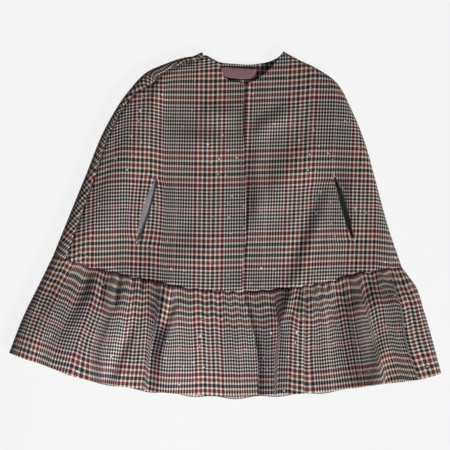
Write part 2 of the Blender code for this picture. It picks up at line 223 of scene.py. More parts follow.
def count_yarns(order, distance):
    """Turns a distance from a red line into a count of yarns."""
    repeats = np.floor(distance / order.repeat)
    reed = (0, order.maroon_at, order.repeat - order.maroon_at, order.repeat)
    yarns = (0, order.maroon, 2 * order.half - order.maroon, 2 * order.half)
    return repeats * 2 * order.half + np.interp(distance - repeats * order.repeat, reed, yarns)


def yarns_from(red, x, down):
    """The warp and weft yarn at a place, counted from where two red lines cross."""
    return count_yarns(WARP, x - red.x), count_yarns(WEFT, down - red.down)


def add_piece(name, cut, material):
    mesh = bpy.data.meshes.new(name)
    cut.to_mesh(mesh)
    cut.free()
    mesh.shade_smooth()
    mesh.materials.append(material)
    piece = bpy.data.objects.new(name, mesh)
    bpy.context.scene.collection.objects.link(piece)
    return piece


def lay_cloth(name, columns, rows, place, outer_up, material, thickness=CLOTH, cut=None):
    """Makes a blank of columns by rows, cuts into it if asked, and lays each point by place(column, row).

    place gives the point's x, down and height, and its warp and weft yarn, which go to the weave's UV map.
    """
    blank = bmesh.new()
    bmesh.ops.create_grid(blank, x_segments=columns, y_segments=rows, size=0.5)
    bmesh.ops.transform(
        blank,
        matrix=Matrix.Diagonal((columns, rows, 1, 1)) @ Matrix.Translation((0.5, 0.5, 0)),
        verts=blank.verts,
    )
    if cut:
        cut(blank)
    if outer_up:
        bmesh.ops.reverse_faces(blank, faces=blank.faces)
    piece = add_piece(name, blank, material)
    mesh = piece.data
    points = np.empty(3 * len(mesh.vertices))
    mesh.vertices.foreach_get("co", points)
    column, row, _ = points.reshape(-1, 3).T.round(3)
    x, down, height, warp, weft = place(column, row)
    laid = np.column_stack((x, MIDDLE_DOWN - down, height)) * MM
    mesh.vertices.foreach_set("co", laid.ravel())
    corners = np.empty(len(mesh.loops), int)
    mesh.loops.foreach_get("vertex_index", corners)
    mesh.uv_layers.new(name="weave").uv.foreach_set("vector", np.column_stack((warp, weft))[corners].ravel())
    mesh.update()
    wall = piece.modifiers.new("wall", "SOLIDIFY")
    wall.thickness = thickness * MM
    wall.offset = -1
    return piece


def runs(column, counts):
    """How far a column is along each of several runs of columns, from 0 to 1."""
    starts = np.cumsum((0, *counts))
    return [np.clip((column - start) / count, 0, 1) for start, count in zip(starts, counts)]


def set_inputs(node, inputs):
    """Sets a node's inputs to values, or links them to other nodes' outputs."""
    for socket, value in inputs.items():
        if isinstance(value, bpy.types.NodeSocket):
            node.id_data.links.new(value, node.inputs[socket])
        else:
            node.inputs[socket].default_value = value


def add_node(tree, kind, inputs, **settings):
    node = tree.nodes.new(kind)
    for setting, value in settings.items():
        setattr(node, setting, value)
    set_inputs(node, inputs)
    return node


def new_group(name, inputs, outputs):
    """A node group with the given kinds of sockets: the group, what comes in and its output node."""
    group = bpy.data.node_groups.new(name, "ShaderNodeTree")
    for way, sockets in (("INPUT", inputs), ("OUTPUT", outputs)):
        for socket, kind in sockets.items():
            group.interface.new_socket(socket, in_out=way, socket_type="NodeSocket" + kind)
    return group, group.nodes.new("NodeGroupInput").outputs, group.nodes.new("NodeGroupOutput")


def add_group(tree, group, **inputs):
    """Places a node group, and gives what it puts out."""
    return add_node(tree, "ShaderNodeGroup", inputs, node_tree=group).outputs


def figure(tree, operation, *values):
    """A Math node on the values."""
    return add_node(tree, "ShaderNodeMath", dict(enumerate(values)), operation=operation).outputs[0]


def sums(tree):
    """The sums that a node group is made of: each one adds a Math node."""
    operations = ("ADD", "SUBTRACT", "MULTIPLY", "FLOOR", "FLOORED_MODULO", "LESS_THAN")
    return (partial(figure, tree, operation) for operation in operations)


def blend_colours(tree, share, first, second, way="MIX"):
    """A colour Mix node."""
    inputs = {0: share, 6: first, 7: second}
    return add_node(tree, "ShaderNodeMix", inputs, data_type="RGBA", blend_type=way).outputs[2]


# One set of yarns, warp or weft: the colour of each yarn by its count
CREAM = (0.637, 0.569, 0.513, 1)
GREEN_BLACK = (0.0082, 0.0078, 0.0068, 1)
BROWN = (0.096, 0.022, 0.0082, 1)
BLACK = (0.0068, 0.0066, 0.006, 1)
MAROON = (0.062, 0.0025, 0.007, 1)
RED = (0.115, 0.008, 0.017, 1)
ENDS = 2
FINE_REPEAT, FINE_DARK, FINE_MARGIN = 4, 2.5, 1.5
BAND_REPEAT, BAND_DARK, BAND_LEAD, BAND_YARNS = 8, 5, 6, 32
BAND_ORDER = ((0, GREEN_BLACK), (6, MAROON), (12, BROWN), (20, BLACK), (28, BROWN))

yarn_order, yarn_in, yarn_out = new_group(
    "yarn_order", {"Count": "Float", "Fine": "Float", "Half": "Float"}, {"Colour": "Color"}
)
add, subtract, multiply, whole, modulo, less = sums(yarn_order)
end = whole(multiply(yarn_in["Count"], ENDS))
middle = figure(yarn_order, "DIVIDE", add(end, 0.5), ENDS)
below = multiply(yarn_in["Half"], -1)
from_red = figure(yarn_order, "ABSOLUTE", figure(yarn_order, "WRAP", middle, yarn_in["Half"], below))
in_band = subtract(1, less(from_red, yarn_in["Fine"]))
before_band = less(from_red, subtract(yarn_in["Fine"], FINE_MARGIN))
in_pair = modulo(add(from_red, FINE_DARK / 2), FINE_REPEAT)
fine_dark = less(in_pair, FINE_DARK)
to_middle = subtract(add(yarn_in["Half"], BAND_DARK / 2), from_red)
band_dark = less(modulo(to_middle, BAND_REPEAT), BAND_DARK)
dark = add(multiply(fine_dark, before_band), multiply(band_dark, in_band))
into_band = add(subtract(from_red, yarn_in["Fine"]), BAND_LEAD)
band_colours = add_node(
    yarn_order, "ShaderNodeValToRGB", {0: figure(yarn_order, "DIVIDE", into_band, BAND_YARNS)}
)
band_colours.color_ramp.interpolation = "CONSTANT"
stops = band_colours.color_ramp.elements
while len(stops) < len(BAND_ORDER):
    stops.new(0.5)
for stop, (yarn, colour) in zip(stops, BAND_ORDER):
    stop.position = yarn / BAND_YARNS
    stop.color = colour
on_red = less(from_red, FINE_DARK / 2)
dark_colour = blend_colours(yarn_order, on_red, band_colours.outputs["Color"], RED)
set_inputs(yarn_out, {"Colour": blend_colours(yarn_order, dark, CREAM, dark_colour)})

# The interlacing of two sets of yarns: which one is on top, and how high it stands
twill, twill_in, twill_out = new_group(
    "twill", {"Warp": "Float", "Weft": "Float", "Over": "Float", "Step": "Float"},
    {"Warp on top": "Float", "Height": "Float"},
)
add, subtract, multiply, whole, modulo, less = sums(twill)
yarns = [whole(twill_in[way]) for way in ("Warp", "Weft")]
step = modulo(add(*yarns), twill_in["Step"])
warp_on_top = less(step, twill_in["Over"])
weft_on_top = subtract(1, warp_on_top)
crowns = []
for way, on_top in (("Warp", warp_on_top), ("Weft", weft_on_top)):
    across = subtract(figure(twill, "FRACT", twill_in[way]), 0.5)
    fall = multiply(multiply(across, across), 4)
    crowns.append(multiply(subtract(1, fall), on_top))
set_inputs(twill_out, {"Warp on top": warp_on_top, "Height": add(*crowns)})

# Uneven dye: a cloudy value, and a colour that it makes lighter and darker
uneven_dye, dye_in, dye_out = new_group(
    "uneven_dye", {"Colour": "Color", "Place": "Vector", "Scale": "Float", "Amount": "Float"},
    {"Colour": "Color", "Cloud": "Float"},
)
cloud = add_node(
    uneven_dye, "ShaderNodeTexNoise", {"Vector": dye_in["Place"], "Scale": dye_in["Scale"], "Detail": 2.5}
).outputs["Fac"]
swing = figure(uneven_dye, "SUBTRACT", cloud, 0.5)
lightness = figure(uneven_dye, "MULTIPLY_ADD", swing, dye_in["Amount"], 1.0)
grey = add_node(uneven_dye, "ShaderNodeCombineColor", dict.fromkeys(range(3), lightness)).outputs["Color"]
dyed = blend_colours(uneven_dye, 1.0, dye_in["Colour"], grey, "MULTIPLY")
set_inputs(dye_out, {"Colour": dyed, "Cloud": cloud})


def gamma(tree, colour, power):
    return add_node(tree, "ShaderNodeGamma", {"Color": colour, "Gamma": power}).outputs["Color"]


def new_material(name, inputs):
    """A material, with its node tree and its shader set to the inputs."""
    material = bpy.data.materials.new(name)
    material.use_nodes = True
    shader = material.node_tree.nodes["Principled BSDF"]
    set_inputs(shader, inputs)
    return material, material.node_tree, shader


def new_cloth(name, roughness, sheen, sheen_tint):
    """A cloth's material, with its shader and the counts of its warp and weft yarns."""
    cloth, tree, shader = new_material(name, {
        "Roughness": roughness, "Specular IOR Level": 0.15,
        "Sheen Weight": sheen, "Sheen Roughness": 0.55, "Sheen Tint": sheen_tint,
    })
    weave = add_node(tree, "ShaderNodeUVMap", {}, uv_map="weave").outputs["UV"]
    counts = add_node(tree, "ShaderNodeSeparateXYZ", {0: weave}).outputs
    return cloth, tree, shader, weave, counts["X"], counts["Y"]


def finish_surface(tree, shader, colour, height, depth, strength):
    """Gives a shader its colour and its relief, whose depth is in millimetres."""
    inputs = {"Height": height, "Distance": depth * MM, "Strength": strength}
    relief = add_node(tree, "ShaderNodeBump", inputs).outputs["Normal"]
    set_inputs(shader, {"Base Color": colour, "Normal": relief})


# The check cloth: both sets of yarns, fuzzed into each other by the finish, with uneven dye and pale slubs
FUZZ, FUZZ_GAMMA = 0.85, 3.0
MOTTLE_SCALE, MOTTLE = 0.9, 0.5
SLUB_SCALE, SLUB_FROM = 0.17, 0.71
SLUB = (0.8, 0.76, 0.7, 1)

check_cloth, tree, shader, weave, warp, weft = new_cloth(
    "check_cloth", roughness=0.88, sheen=0.05, sheen_tint=(0.9, 0.86, 0.82, 1)
)
warp_colour, weft_colour = (
    add_group(tree, yarn_order, Count=count, Fine=order.fine, Half=order.half)["Colour"]
    for order, count in ((WARP, warp), (WEFT, weft))
)
warp_ends, weft_ends = (figure(tree, "MULTIPLY", count, ENDS) for count in (warp, weft))
warp_on_top, yarn_height = add_group(tree, twill, Warp=warp_ends, Weft=weft_ends, Over=2, Step=4)
on_top = blend_colours(tree, warp_on_top, weft_colour, warp_colour)
flattened = (gamma(tree, colour, 1 / FUZZ_GAMMA) for colour in (warp_colour, weft_colour))
fuzzed = gamma(tree, blend_colours(tree, 0.5, *flattened), FUZZ_GAMMA)
woven = blend_colours(tree, FUZZ, on_top, fuzzed)
mottled, _ = add_group(tree, uneven_dye, Colour=woven, Place=weave, Scale=MOTTLE_SCALE, Amount=MOTTLE)
_, slub_cloud = add_group(tree, uneven_dye, Place=weave, Scale=SLUB_SCALE)
slubbed = blend_colours(tree, figure(tree, "GREATER_THAN", slub_cloud, SLUB_FROM), mottled, SLUB)
finish_surface(tree, shader, slubbed, yarn_height, depth=0.25, strength=0.5)

BACK_RED = Place(-6.0, 92.0)


def back_floor(across, share):
    """A place on the back where it lies on the table."""
    return patch(left_side.rolled, right_side.beside_turned, back_neck, ruffle_seam, across, share)


def back_place(column, row):
    """A point of the back; its columns run from the seam on the front over the side fold to the table."""
    share = row / BODY_ROWS
    from_seam, turn, across = runs(column, BACK_COLUMNS)
    beyond = left_side.past_roll(share) * (1 - from_seam)
    place, height = left_side.bend(share, turn, beyond)
    flat = left_side.unrolled(share, 1 - turn, beyond)
    on_table = across > 0
    place[on_table] = flat[on_table] = back_floor(across, share)[on_table]
    to_seam = left_side.turned_width(share) * from_seam
    height -= STRIP_DIP * ease(1 - to_seam / STRIP_DIP_WIDTH) * (from_seam < 1)
    return *place.T, height, *yarns_from(BACK_RED, *flat.T)


back = lay_cloth("back_panel", sum(BACK_COLUMNS), BODY_ROWS, back_place, False, check_cloth)
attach(back, "root")
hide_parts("back")

# Back lining
# A single layer of grey satin-weave lining that lies on the inside of the back. It shows through both arm
# slits, and it is caught in the facing's edge at the top and in the ruffle seam below.
LINING = 0.8
LINING_COLUMNS, LINING_ROWS = 110, 80
LINING_TOP, LINING_END, LINING_INSET = 0.147, 0.975, 0.06
LINING_LEVEL = 3.15
LINING_RIPPLE, RIPPLE_PITCH, RIPPLE_SLANT, RIPPLE_PHASE = 0.45, Place(9, 31), 60.0, Sway(0, 1.4, 40, 0)
# Where the lining is bunched up behind the left slit
Bunch = namedtuple("Bunch", "x down width length height slant")
LINING_BUNCH = Bunch(-109, 224, 15, 62, 4.3, 0.31)
LINING_YARN = 0.35

lining_cloth, tree, shader, weave, warp, weft = new_cloth(
    "lining_cloth", roughness=0.42, sheen=0.1, sheen_tint=(0.8, 0.8, 0.9, 1)
)
warp_on_top, yarn_height = add_group(tree, twill, Warp=warp, Weft=weft, Over=4, Step=5)
# The lining is one grey; the warp floats on top are painted lighter than the weft: a painted sheen of the
# satin floats.
satin = blend_colours(tree, warp_on_top, (0.216, 0.209, 0.217, 1), (0.298, 0.289, 0.299, 1))
dyed, _ = add_group(tree, uneven_dye, Colour=satin, Place=weave, Scale=0.02, Amount=0.5)
finish_surface(tree, shader, dyed, yarn_height, depth=0.1, strength=0.4)


def lining_place(column, row):
    across = LINING_INSET + (1 - 2 * LINING_INSET) * column / LINING_COLUMNS
    share = LINING_TOP + (LINING_END - LINING_TOP) * row / LINING_ROWS
    x, down = back_floor(across, share).T
    across_ripple = np.sin(x / RIPPLE_PITCH.x + swayed(RIPPLE_PHASE, down))
    down_ripple = np.sin(down / RIPPLE_PITCH.down + x / RIPPLE_SLANT)
    below = down - LINING_BUNCH.down
    beside = x - LINING_BUNCH.x + LINING_BUNCH.slant * below
    bunched = np.exp(-((beside / LINING_BUNCH.width) ** 2) - (below / LINING_BUNCH.length) ** 4)
    height = LINING_LEVEL + LINING_RIPPLE * across_ripple * down_ripple + LINING_BUNCH.height * bunched
    return x, down, height, x / LINING_YARN, down / LINING_YARN


lining = lay_cloth("lining_of_back", LINING_COLUMNS, LINING_ROWS, lining_place, True, lining_cloth, LINING)
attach(lining, "root")
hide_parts("back_lining")

# Neck facing
# A band of the check cloth inside the back of the neck, sewn to the back along the neck edge and turned in.
# It finishes the edge and carries the label.
FACING = 0.9
FACING_COLUMNS, FACING_ROWS = 90, 22
FACING_DEPTH, FACING_INSET = 0.138, 0.05
FACING_HEIGHT, FACING_RISE, FACING_RISE_WIDTH = 2.2, 2.4, 24.0
FACING_RED = Place(20.5, -12.0)


def facing_height(x, down):
    """The facing leaves the back at the neck edge, where it is sewn down, and stands off it lower down."""
    return FACING_HEIGHT + FACING_RISE * ease((down - back_neck(x)) / FACING_RISE_WIDTH)


def facing_place(column, row):
    across = FACING_INSET + (1 - 2 * FACING_INSET) * column / FACING_COLUMNS
    x, down = back_floor(across, FACING_DEPTH * row / FACING_ROWS).T
    return x, down, facing_height(x, down), *yarns_from(FACING_RED, x, down)


facing = lay_cloth("facing_of_neck", FACING_COLUMNS, FACING_ROWS, facing_place, True, check_cloth, FACING)
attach(facing, "root")
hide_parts("neck_facing")

# Label
# A small woven label of mauve ribbon, left bare. Its two ends are turned under and each is stitched to the
# facing by one row of machine stitches.
LABEL, LABEL_LEVEL = 0.56, 0.8
LABEL_SIZE = Place(50.0, 15.0)
LABEL_AT = Place(18.5, 31.5)
LABEL_TILT = 0.06
LABEL_RISE, LABEL_RISE_WIDTH = 0.25, 4.0
LABEL_STITCH_DIP, LABEL_STITCH_INSET, LABEL_STITCH_WIDTH = 0.2, 5.0, 0.8
LABEL_YARN = 0.28
LABEL_COLUMNS, LABEL_ROWS = 60, 20

label_cloth, tree, shader, weave, warp, weft = new_cloth(
    "label_cloth", roughness=0.55, sheen=0.15, sheen_tint=(0.9, 0.7, 0.75, 1)
)
warp_on_top, yarn_height = add_group(tree, twill, Warp=warp, Weft=weft, Over=1, Step=2)
# The ribbon is one mauve; the warp on top is painted lighter than the weft: a painted sheen of the warp
# yarns.
ribbon = blend_colours(tree, warp_on_top, (0.235, 0.120, 0.142, 1), (0.31, 0.165, 0.19, 1))
dyed, _ = add_group(tree, uneven_dye, Colour=ribbon, Place=weave, Scale=0.05, Amount=0.4)
finish_surface(tree, shader, dyed, yarn_height, depth=0.1, strength=0.5)


def label_place(column, row):
    x = LABEL_SIZE.x * (column / LABEL_COLUMNS - 0.5)
    down = LABEL_SIZE.down * (row / LABEL_ROWS - 0.5)
    to_end = LABEL_SIZE.x / 2 - abs(x)
    height = LABEL_LEVEL + LABEL_RISE * ease(to_end / LABEL_RISE_WIDTH)
    height -= LABEL_STITCH_DIP * ease(1 - abs(to_end - LABEL_STITCH_INSET) / LABEL_STITCH_WIDTH)
    laid_x = LABEL_AT.x + x * cos(LABEL_TILT) - down * sin(LABEL_TILT)
    laid_down = LABEL_AT.down + x * sin(LABEL_TILT) + down * cos(LABEL_TILT)
    height += facing_height(laid_x, laid_down)
    return laid_x, laid_down, height, x / LABEL_YARN, down / LABEL_YARN


label = lay_cloth("neck_label", LABEL_COLUMNS, LABEL_ROWS, label_place, True, label_cloth, LABEL)
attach(label, "root")
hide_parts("label")

# Right front
# The front panel on the viewer's right, in the check cloth. It tucks under the left front at the centre, is
# slashed for the arm, and rolls over the right side to meet the back on the table.
UNDERLAP, UNDERLAP_DROP = 25.0, 3.4
SLIT_ROWS = (91, 140)
# Columns from the centre to the slit, on to the side fold, round it and on the table
RIGHT_COLUMNS = (76, 50, 20, 4)
# The outer face lies level and rises to the side folds; ridges start clear of them
LEVEL = 8.4
PUFF_FLAT, PUFF_END = 20.0, 75.0
FOLD_CLEAR, FOLD_FULL = 16.0, 34.0
Lips = namedtuple("Lips", "left right")
RIGHT_LIPS = Lips(5.7, 2.9)
SLIT_SPREAD, SLIT_ROUNDNESS = 0.35, 0.6
NEAR, LIP_STEP = 1e-4, 0.01
# How the cloth goes under the other front: the share of the drop, how far past the edge it ends and its width
Cover = namedtuple("Cover", "share clear rise")
RIGHT_COVERS = rows_of(Cover, (0.6, -1.5, 5.0), (0.4, 1.0, 26.0))
RIGHT_NECK = rows_of(
    Place, (0, 48), (27, 46.5), (38, 42.3), (46, 38), (57, 30), (67, 19.5), (75, 9.3), (83, 1),
)
CENTRE_SEAM = Place(25.5, 342)
CENTRE = rows_of(
    Place, (27, 46), (26.5, 71), (25, 98), (28, 155), (29.5, 205), (30, 255), CENTRE_SEAM, (35, 380),
    (44, 419), (47, 458), (47, 492),
)
RIGHT_SLIT_LINE = rows_of(Place, (68, 19), (110, 96), (154.9, 177.9), (182, 267.8), (196, 315.5))
Fold = namedtuple("Fold", "x down x_end down_end width height")
RIGHT_FOLDS = rows_of(
    Fold, (34, 20, 31, 140, 13, 2.4), (22, 130, 108, 76, 40, 2.8), (-20, 292, 150, 116, 80, 4),
    (42, 116, 46, 262, 26, 3), (154, 186, 85, 376, 32, 2.8), (174, 188, 106, 376, 68, 2.4),
    (136, 180, 82, 322, 30, -1.6), (172, 168, 193, 280, 30, 3.6), (208, 186, 224, 298, 26, 2.8),
)
FOLD_END = 0.33
NECK_DROP, NECK_DROP_WIDTH = 0.4, 28.0
SEAM_DIP, SEAM_DIP_WIDTH = 0.9, 5.0
FRONT_GATHERS, FRONT_GATHERS_SHORTER = 0.5, 2.5
EDGE_POINTS = 61
# Gathers, whose phase, depth and reach down from the seam sway along it
Gather = namedtuple("Gather", "height pitch phase depth reach")
SHORT_GATHERS = Gather(1.6, 4.0, Sway(0.8, 1.05, 11, 0), Sway(0.75, 0.55, 23, 1), Sway(26, 10, 7, 0))
LONG_GATHERS = Gather(3.0, 8.8, Sway(1.3, 0.95, 27, 0), Sway(0.8, 0.5, 37, 0), Sway(64, 24, 15, 0))
LONG_GATHERS_FULL = 24.0

# Warp lines of the right front: the yarn's count and its x near the neck and near the ruffle seam
Grain = namedtuple("Grain", "yarn neck seam")
NECK_DOWN, SEAM_DOWN = 27.0, 333.0
RIGHT_WARP = rows_of(
    Grain, (-77, -1.4, -11.3), (-29, 38.9, 29), (0, 64.6, 53.8), (29, 92.4, 82.2), (77, 131.6, 117.4),
    (106, 160.3, 146.1), (135, 185.9, 172.4), (183, 218.5, 209.7), (212, 244.1, 234.2), (241, 269, 259),
)
# How far the weft lies from level across the right front, near the neck and near the ruffle seam
Drift = namedtuple("Drift", "x neck seam")
RIGHT_RED_DOWN = 107.2
RIGHT_WEFT = rows_of(
    Drift, (35, 0, 0), (88, -2.1, -0.7), (106, -3.5, -1.4), (125, -5.4, -2.8), (153, -5, -4),
    (183, -2.5, -5), (213, -1.4, -5), (234, -1.4, -2),
)

right_neck = down_at(RIGHT_NECK)
centre_x = smooth_curve(*np.array(CENTRE, float).T[::-1])
seam_at_centre = float(ruffle_seam(CENTRE_SEAM.x))


def side_points(*sides):
    return np.concatenate([side.edge(np.linspace(0, 1, EDGE_POINTS)) for side in sides])


def distances(place, points):
    """The distance of each place from each point."""
    return np.hypot(*(place[:, i, None] - points[:, i] for i in (0, 1)))


def resting_height(place, edge_points, level, puff_end):
    """Height of a front's outer face without folds, and the distance from the nearest side edge."""
    apart = distances(place, edge_points)
    nearest = apart.argmin(axis=1)
    distance = apart.min(axis=1)
    puff = ease((puff_end - distance) / (puff_end - PUFF_FLAT))
    return level + (edge_points[nearest, 3] - level) * puff, distance


def fold_height(folds, place):
    """Height of rounded ridges and troughs, which run out at both ends."""
    height = np.zeros(len(place))
    for fold in folds:
        start = np.array((fold.x, fold.down))
        way = np.array((fold.x_end, fold.down_end), float) - start
        reach = np.linalg.norm(way)
        way /= reach
        offset = place - start
        share = offset @ way / reach
        across = np.clip((offset[:, 0] * way[1] - offset[:, 1] * way[0]) / fold.width, -0.5, 0.5)
        ends = ease(share / FOLD_END) * ease((1 - share) / FOLD_END)
        height += fold.height * np.cos(pi * across) ** 2 * ends
    return height


def gather_height(gather, x, to_seam):
    folds = abs(np.sin(x / gather.pitch + swayed(gather.phase, x))) * swayed(gather.depth, x)
    return gather.height * folds * ease(1 - to_seam / swayed(gather.reach, x))


def pucker(x, to_seam):
    """Gathers along the ruffle seam, uneven in spacing and depth: short ones, and long ones between them."""
    long = gather_height(LONG_GATHERS, x, to_seam) * ease(to_seam / LONG_GATHERS_FULL)
    return gather_height(SHORT_GATHERS, x, to_seam) + long


def clear_of_fold(distance):
    """0 where the cloth starts to roll over the side, easing to 1 where it is free to wave."""
    return ease((distance - FOLD_CLEAR) / (FOLD_FULL - FOLD_CLEAR))


body_edges = side_points(left_side, right_side)


def front_height(place, folds, neck, cover=0.0):
    """Height of a front's outer face, where cover is how far it lies under the other front."""
    x, down = place.T
    to_seam = ruffle_seam(x) - down
    height, distance = resting_height(place, body_edges, LEVEL, PUFF_END)
    raised = fold_height(folds, place) + FRONT_GATHERS * pucker(x, to_seam * FRONT_GATHERS_SHORTER)
    raised -= NECK_DROP * ease(1 - (down - neck(x)) / NECK_DROP_WIDTH)
    height += raised * (1 - cover) * clear_of_fold(distance)
    return height - UNDERLAP_DROP * cover - SEAM_DIP * ease(1 - to_seam / SEAM_DIP_WIDTH)


def underlap(place, covers):
    """1 where a right piece lies under the left ones, easing to 0 where it comes clear of the centre edge."""
    past_edge = centre_x(place[:, 1]) - place[:, 0]
    return sum(cover.share * ease((past_edge + cover.clear + cover.rise) / cover.rise) for cover in covers)


def slash(column, blank):
    """Slashes a blank along a column, leaving a left and a right lip."""
    first, last = SLIT_ROWS

    def on_slash(v, beyond):
        return abs(v.co.x - column) < NEAR and first - beyond < v.co.y < last + beyond

    line = {v for v in blank.verts if on_slash(v, NEAR)}
    bmesh.ops.split_edges(blank, edges=[edge for edge in blank.edges if line.issuperset(edge.verts)])
    for v in blank.verts:
        if on_slash(v, -NEAR):
            side = sum(face.calc_center_median().x - column for face in v.link_faces)
            v.co.x += LIP_STEP if side > 0 else -LIP_STEP


def slit_rail(line):
    """The slit's line by the share of the rows, with its ends on the rows where the slit is cut."""
    first, last = (row / BODY_ROWS for row in SLIT_ROWS)
    return smooth_curve(np.array((0, first / 2, first, last, 1)), np.array(line, float))


def slashed_front(column, row, counts, rails, neck, lips):
    """A point of a front with its slit, between three rails: where it is cut, and where the lips push it."""
    share = row / BODY_ROWS
    edge, slit, far_edge = rails
    before, after = runs(column, counts)[:2]
    flat = np.where(
        (after > 0)[:, None],
        patch(slit, far_edge, neck, ruffle_seam, after, share),
        patch(edge, slit, neck, ruffle_seam, before, share),
    )
    first, last = SLIT_ROWS
    away = column - counts[0]
    lens = np.sin(pi * np.clip((row - first) / (last - first), 0, 1)) ** SLIT_ROUNDNESS
    spread = np.where(away > 0, counts[1], counts[0]) * SLIT_SPREAD
    pushed = np.where(away < 0, *lips) * lens * np.maximum(0, 1 - abs(away) / spread)
    return flat, flat + np.column_stack((np.sign(away.round(3)) * pushed, np.zeros(len(flat))))


def centre_rail(start, end, under=0.0):
    """The edge at the centre from one distance down to another, or an edge that lies under it."""

    def place_at(share):
        down = start + (end - start) * share
        return np.column_stack((centre_x(down) - under, down))

    return place_at


def between_lines(x, lines, levels, shape=np.asarray):
    """The level at x between lines that each have their own x at every point."""
    levels = np.broadcast_to(levels, lines.shape)
    i = np.clip((lines <= x[:, None]).sum(axis=1) - 1, 0, lines.shape[1] - 2)
    at = np.arange(len(x))
    share = shape((x - lines[at, i]) / (lines[at, i + 1] - lines[at, i]))
    return levels[at, i] + (levels[at, i + 1] - levels[at, i]) * share


def between_levels(table, at, lower):
    """A table's value at a place, from its upper level at 0 to its lower one at 1."""
    places, top, bottom = np.array(table, float).T
    return np.interp(at, places, top) * (1 - lower) + np.interp(at, places, bottom) * lower


def front_yarns(flat, grain, red_down, drift):
    """The warp and weft yarn at a place of a front, before it was rolled over."""
    x, down = flat.T
    lower = (down - NECK_DOWN) / (SEAM_DOWN - NECK_DOWN)
    yarn, neck, seam = np.array(grain, float).T
    warp = between_lines(x, neck + (seam - neck) * lower[:, None], yarn)
    return warp, count_yarns(WEFT, down - red_down - between_levels(drift, x, lower))


right_centre = centre_rail(RIGHT_NECK[0].down, seam_at_centre, UNDERLAP)
right_rails = (right_centre, slit_rail(RIGHT_SLIT_LINE), right_side.rolled)


def front_right_place(column, row):
    """A point of the right front; its columns run from the centre over the side fold to the table."""
    share = row / BODY_ROWS
    *_, turn, under = runs(column, RIGHT_COLUMNS)
    flat, place = slashed_front(column, row, RIGHT_COLUMNS, right_rails, right_neck, RIGHT_LIPS)
    height = front_height(place, RIGHT_FOLDS, right_neck, underlap(place, RIGHT_COVERS))
    right_side.roll_over(share, turn, right_side.past_roll(share) * under, place, height, flat)
    return *place.T, height, *front_yarns(flat, RIGHT_WARP, RIGHT_RED_DOWN, RIGHT_WEFT)


front_right = lay_cloth(
    "right_front", sum(RIGHT_COLUMNS), BODY_ROWS, front_right_place, True, check_cloth,
    cut=partial(slash, RIGHT_COLUMNS[0]),
)
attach(front_right, "root")
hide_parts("front_right")

# Left front
# The front panel on the viewer's left, in the check cloth. Its centre edge lies over the right front, and its
# outer edge is sewn to the back's turned-over strip along the shoulder and side seam.
LEFT_COLUMNS = (50, 76)
LEFT_NECK = rows_of(
    Place, (-33, 2.6), (-28, 3.8), (-22, 8), (-13, 13.6), (-8.5, 19.5), (-5.5, 27), (-2, 35), (4, 40),
    (14, 43), (27, 46.5),
)
LEFT_SLIT_LINE = rows_of(Place, (-16, 11.8), (-53, 98), (-96.7, 180.8), (-124.4, 270.2), (-138, 319))
LEFT_LIPS = Lips(5.2, 5.2)
# The broad ridge whose right side runs on from the front into the ruffle
FLAT_SIDE = Fold(-70, 236, -84, 640, 150, 7.0)
LEFT_FOLDS = rows_of(
    Fold, (-100, 24, -98, 100, 30, 3), (-42, 88, 22, 92, 38, 2.2), (-84, 114, -4, 134, 42, 2.4),
    (-82, 180, -56, 250, 32, 2.2), (-66, 190, -16, 300, 40, 1.5), (-88, 282, -4, 298, 60, 2), FLAT_SIDE,
    (-112, 186, -128, 268, 38, 1.6), (-98, 70, -190, 310, 90, 4.2), (-72, 134, 24, 142, 70, 2.2),
)
# How far the centre edge lifts off the right front, by the distance down
Lift = namedtuple("Lift", "down height")
CENTRE_LIFT = rows_of(
    Lift, (46, 0.2), (75, 1.8), (105, 1.8), (150, 1.6), (178, 2.4), (240, 2.2), (300, 1), (342, 0.4),
)
LIFT_WIDTH = 10.0
LEFT_WARP = rows_of(
    Grain, (-183, -223.1, -227.3), (-135, -183.3, -189), (-106, -158.5, -159.9), (-77, -126.5, -133.6),
    (-29, -90.3, -95.6), (0, -65.2, -74), (29, -39.9, -44.2), (77, 0.1, -5.1), (106, 25.4, 23.3),
    (135, 51, 49),
)
LEFT_RED_DOWN = 109.9
LEFT_WEFT = rows_of(
    Drift, (-185, -4.5, -4.5), (-142, -6.8, -6.5), (-107, -5, -5), (-97, -3, -4), (-85, 0, -2.8),
    (-50, 0, -1), (-21, 0, 0), (24, -1.5, -1.2),
)
SEAM_SAG, SEAM_SAG_WIDTH = 5.5, 34.0
SIDE_SEAM_DIP, SIDE_SEAM_DIP_WIDTH = 1.5, 6.0
SEAM_POINTS = 121

left_neck = down_at(LEFT_NECK)
left_centre = centre_rail(CENTRE[0].down, seam_at_centre)
left_rails = (left_side.beside_turned, slit_rail(LEFT_SLIT_LINE), left_centre)
left_seam_points = left_side.turned(np.linspace(0, 1, SEAM_POINTS))


def front_left_place(column, row):
    """A point of the left front; its columns run from the side seam to the centre edge."""
    flat, place = slashed_front(column, row, LEFT_COLUMNS, left_rails, left_neck, LEFT_LIPS)
    to_seam = distances(flat, left_seam_points).min(axis=1)
    flat[:, 1] -= SEAM_SAG * ease(1 - to_seam / SEAM_SAG_WIDTH) ** 2
    x, down = place.T
    height = front_height(place, LEFT_FOLDS, left_neck)
    lift = np.interp(down, *np.array(CENTRE_LIFT, float).T)
    height += lift * ease(1 - (centre_x(down) - x) / LIFT_WIDTH)
    height -= SIDE_SEAM_DIP * ease(1 - to_seam / SIDE_SEAM_DIP_WIDTH)
    return x, down, height, *front_yarns(flat, LEFT_WARP, LEFT_RED_DOWN, LEFT_WEFT)


front_left = lay_cloth(
    "left_front", sum(LEFT_COLUMNS), BODY_ROWS, front_left_place, True, check_cloth,
    cut=partial(slash, LEFT_COLUMNS[0]),
)
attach(front_left, "root")
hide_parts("front_left")

